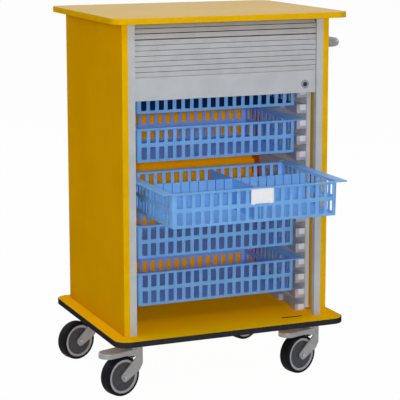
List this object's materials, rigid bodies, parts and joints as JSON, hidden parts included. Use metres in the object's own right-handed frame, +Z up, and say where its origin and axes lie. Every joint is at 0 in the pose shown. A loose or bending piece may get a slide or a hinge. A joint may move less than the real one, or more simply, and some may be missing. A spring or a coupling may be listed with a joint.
{
  "type": "roll-front tray storage trolley",
  "caption": "Mobile cabinet with a roll-down slatted front, slotted pull-out baskets on moulded runners, a label holder, a push handle and swivel castors with brake pedals.",
  "frame": {"origin": "on the floor under the middle of the worktop", "axes": "+X to the right as the user faces the open front, +Y from the front to the back, +Z up"},
  "size_m": [0.855, 0.78, 1.156],
  "materials": {
    "laminate": "yellow melamine-faced board",
    "yellow_edge": "yellow plastic edge band",
    "black_edge": "black plastic edge band",
    "handle": "grey powder-coated tube",
    "zinc": "zinc-plated pressed steel",
    "rail": "anodised extruded rail",
    "chrome": "polished lock",
    "slat": "extruded grey slats",
    "guide": "extruded grey guide",
    "track": "moulded track",
    "runner_panel": "moulded grey-beige panel",
    "runner": "moulded grey runners",
    "tread": "black rubber tread",
    "wheel_centre": "moulded grey wheel centre",
    "guard": "moulded dark grey cover",
    "pedal": "zinc-plated pressed steel",
    "basket": "moulded light blue basket",
    "divider": "blue divider",
    "label_holder": "clear-white label holder",
    "label_card": "blank white card"
  },
  "bodies": {
    "cabinet": {"worktop": "laminate", "worktop_edge_band": "yellow_edge", "base_board": "laminate", "base_edge_band": "black_edge", "side_panel_left": "laminate", "side_panel_right": "laminate", "back_panel": "laminate", "shutter_guide_left": "guide", "shutter_guide_right": "guide", "curved_track_left": "track", "curved_track_right": "track", "stored_slats": "slat", "runner_panel_left": "runner_panel", "runner_panel_right": "runner_panel", "runners_left": "runner", "runners_right": "runner", "push_handle": "handle", "handle_rosettes": "handle", "castor_plate_front_left": "zinc", "castor_plate_front_right": "zinc", "castor_plate_rear_left": "zinc", "castor_plate_rear_right": "zinc", "castor_bolts": "zinc"},
    "swivel_front_left": {"fork_front_left": "zinc", "axle_front_left": "zinc"},
    "wheel_front_left": {"tread_front_left": "tread", "wheel_centre_front_left": "wheel_centre", "thread_guards_front_left": "guard"},
    "pedal_front_left": {"brake_pedal_front_left": "pedal"},
    "swivel_front_right": {"fork_front_right": "zinc", "axle_front_right": "zinc"},
    "wheel_front_right": {"tread_front_right": "tread", "wheel_centre_front_right": "wheel_centre", "thread_guards_front_right": "guard"},
    "pedal_front_right": {"brake_pedal_front_right": "pedal"},
    "swivel_rear_left": {"fork_rear_left": "zinc", "axle_rear_left": "zinc"},
    "wheel_rear_left": {"tread_rear_left": "tread", "wheel_centre_rear_left": "wheel_centre", "thread_guards_rear_left": "guard"},
    "swivel_rear_right": {"fork_rear_right": "zinc", "axle_rear_right": "zinc"},
    "wheel_rear_right": {"tread_rear_right": "tread", "wheel_centre_rear_right": "wheel_centre", "thread_guards_rear_right": "guard"},
    "shutter": {"shutter_slats": "slat", "bottom_rail": "rail", "lock_housing": "chrome"},
    "lock": {"lock_plug": "chrome", "lock_cam": "zinc"},
    "basket_1": {"basket_1": "basket"},
    "basket_2": {"basket_2": "basket"},
    "basket_3": {"basket_3": "basket", "divider_long": "divider", "divider_cross": "divider", "label_holder": "label_holder", "label_card": "label_card"},
    "basket_4": {"basket_4": "basket"},
    "basket_5": {"basket_5": "basket"}
  },
  "joints": [
    {"name": "swivel_front_left", "type": "hinge", "parent": "cabinet", "child": "swivel_front_left", "pos_m": [-0.302, -0.213, 0.145], "axis": [0, 0, 1], "continuous": true},
    {"name": "roll_front_left", "type": "hinge", "parent": "swivel_front_left", "child": "wheel_front_left", "pos_m": [-0.34955, -0.22845, 0.0625], "axis": [-0.309, 0.9511, 0], "continuous": true},
    {"name": "brake_front_left", "type": "hinge", "parent": "swivel_front_left", "child": "pedal_front_left", "pos_m": [-0.31341, -0.21671, 0.131], "axis": [0.309, -0.9511, 0], "range_deg": [0, 9]},
    {"name": "swivel_front_right", "type": "hinge", "parent": "cabinet", "child": "swivel_front_right", "pos_m": [0.302, -0.213, 0.145], "axis": [0, 0, 1], "continuous": true},
    {"name": "roll_front_right", "type": "hinge", "parent": "swivel_front_right", "child": "wheel_front_right", "pos_m": [0.25445, -0.22845, 0.0625], "axis": [-0.309, 0.9511, 0], "continuous": true},
    {"name": "brake_front_right", "type": "hinge", "parent": "swivel_front_right", "child": "pedal_front_right", "pos_m": [0.29059, -0.21671, 0.131], "axis": [0.309, -0.9511, 0], "range_deg": [0, 9]},
    {"name": "swivel_rear_left", "type": "hinge", "parent": "cabinet", "child": "swivel_rear_left", "pos_m": [-0.302, 0.213, 0.145], "axis": [0, 0, 1], "continuous": true},
    {"name": "roll_rear_left", "type": "hinge", "parent": "swivel_rear_left", "child": "wheel_rear_left", "pos_m": [-0.34955, 0.19755, 0.0625], "axis": [-0.309, 0.9511, 0], "continuous": true},
    {"name": "swivel_rear_right", "type": "hinge", "parent": "cabinet", "child": "swivel_rear_right", "pos_m": [0.302, 0.213, 0.145], "axis": [0, 0, 1], "continuous": true},
    {"name": "roll_rear_right", "type": "hinge", "parent": "swivel_rear_right", "child": "wheel_rear_right", "pos_m": [0.25445, 0.19755, 0.0625], "axis": [-0.309, 0.9511, 0], "continuous": true},
    {"name": "shutter_slide", "type": "slide", "parent": "cabinet", "child": "shutter", "axis": [0, 0, 1], "range_m": [-0.235, 0.15], "deforming": ["shutter_slats"]},
    {"name": "lock_turn", "type": "hinge", "parent": "shutter", "child": "lock", "pos_m": [0.264, -0.235, 0.9311], "axis": [0, -1, 0], "range_deg": [0, 90]},
    {"name": "basket_1_slide", "type": "slide", "parent": "cabinet", "child": "basket_1", "axis": [0, -1, 0], "range_m": [0, 0.04]},
    {"name": "basket_2_slide", "type": "slide", "parent": "cabinet", "child": "basket_2", "axis": [0, -1, 0], "range_m": [0, 0.3]},
    {"name": "basket_3_slide", "type": "slide", "parent": "cabinet", "child": "basket_3", "axis": [0, -1, 0], "range_m": [-0.283, 0.02]},
    {"name": "basket_4_slide", "type": "slide", "parent": "cabinet", "child": "basket_4", "axis": [0, -1, 0], "range_m": [0, 0.3]},
    {"name": "basket_5_slide", "type": "slide", "parent": "cabinet", "child": "basket_5", "axis": [0, -1, 0], "range_m": [0, 0.3]}
  ]
}
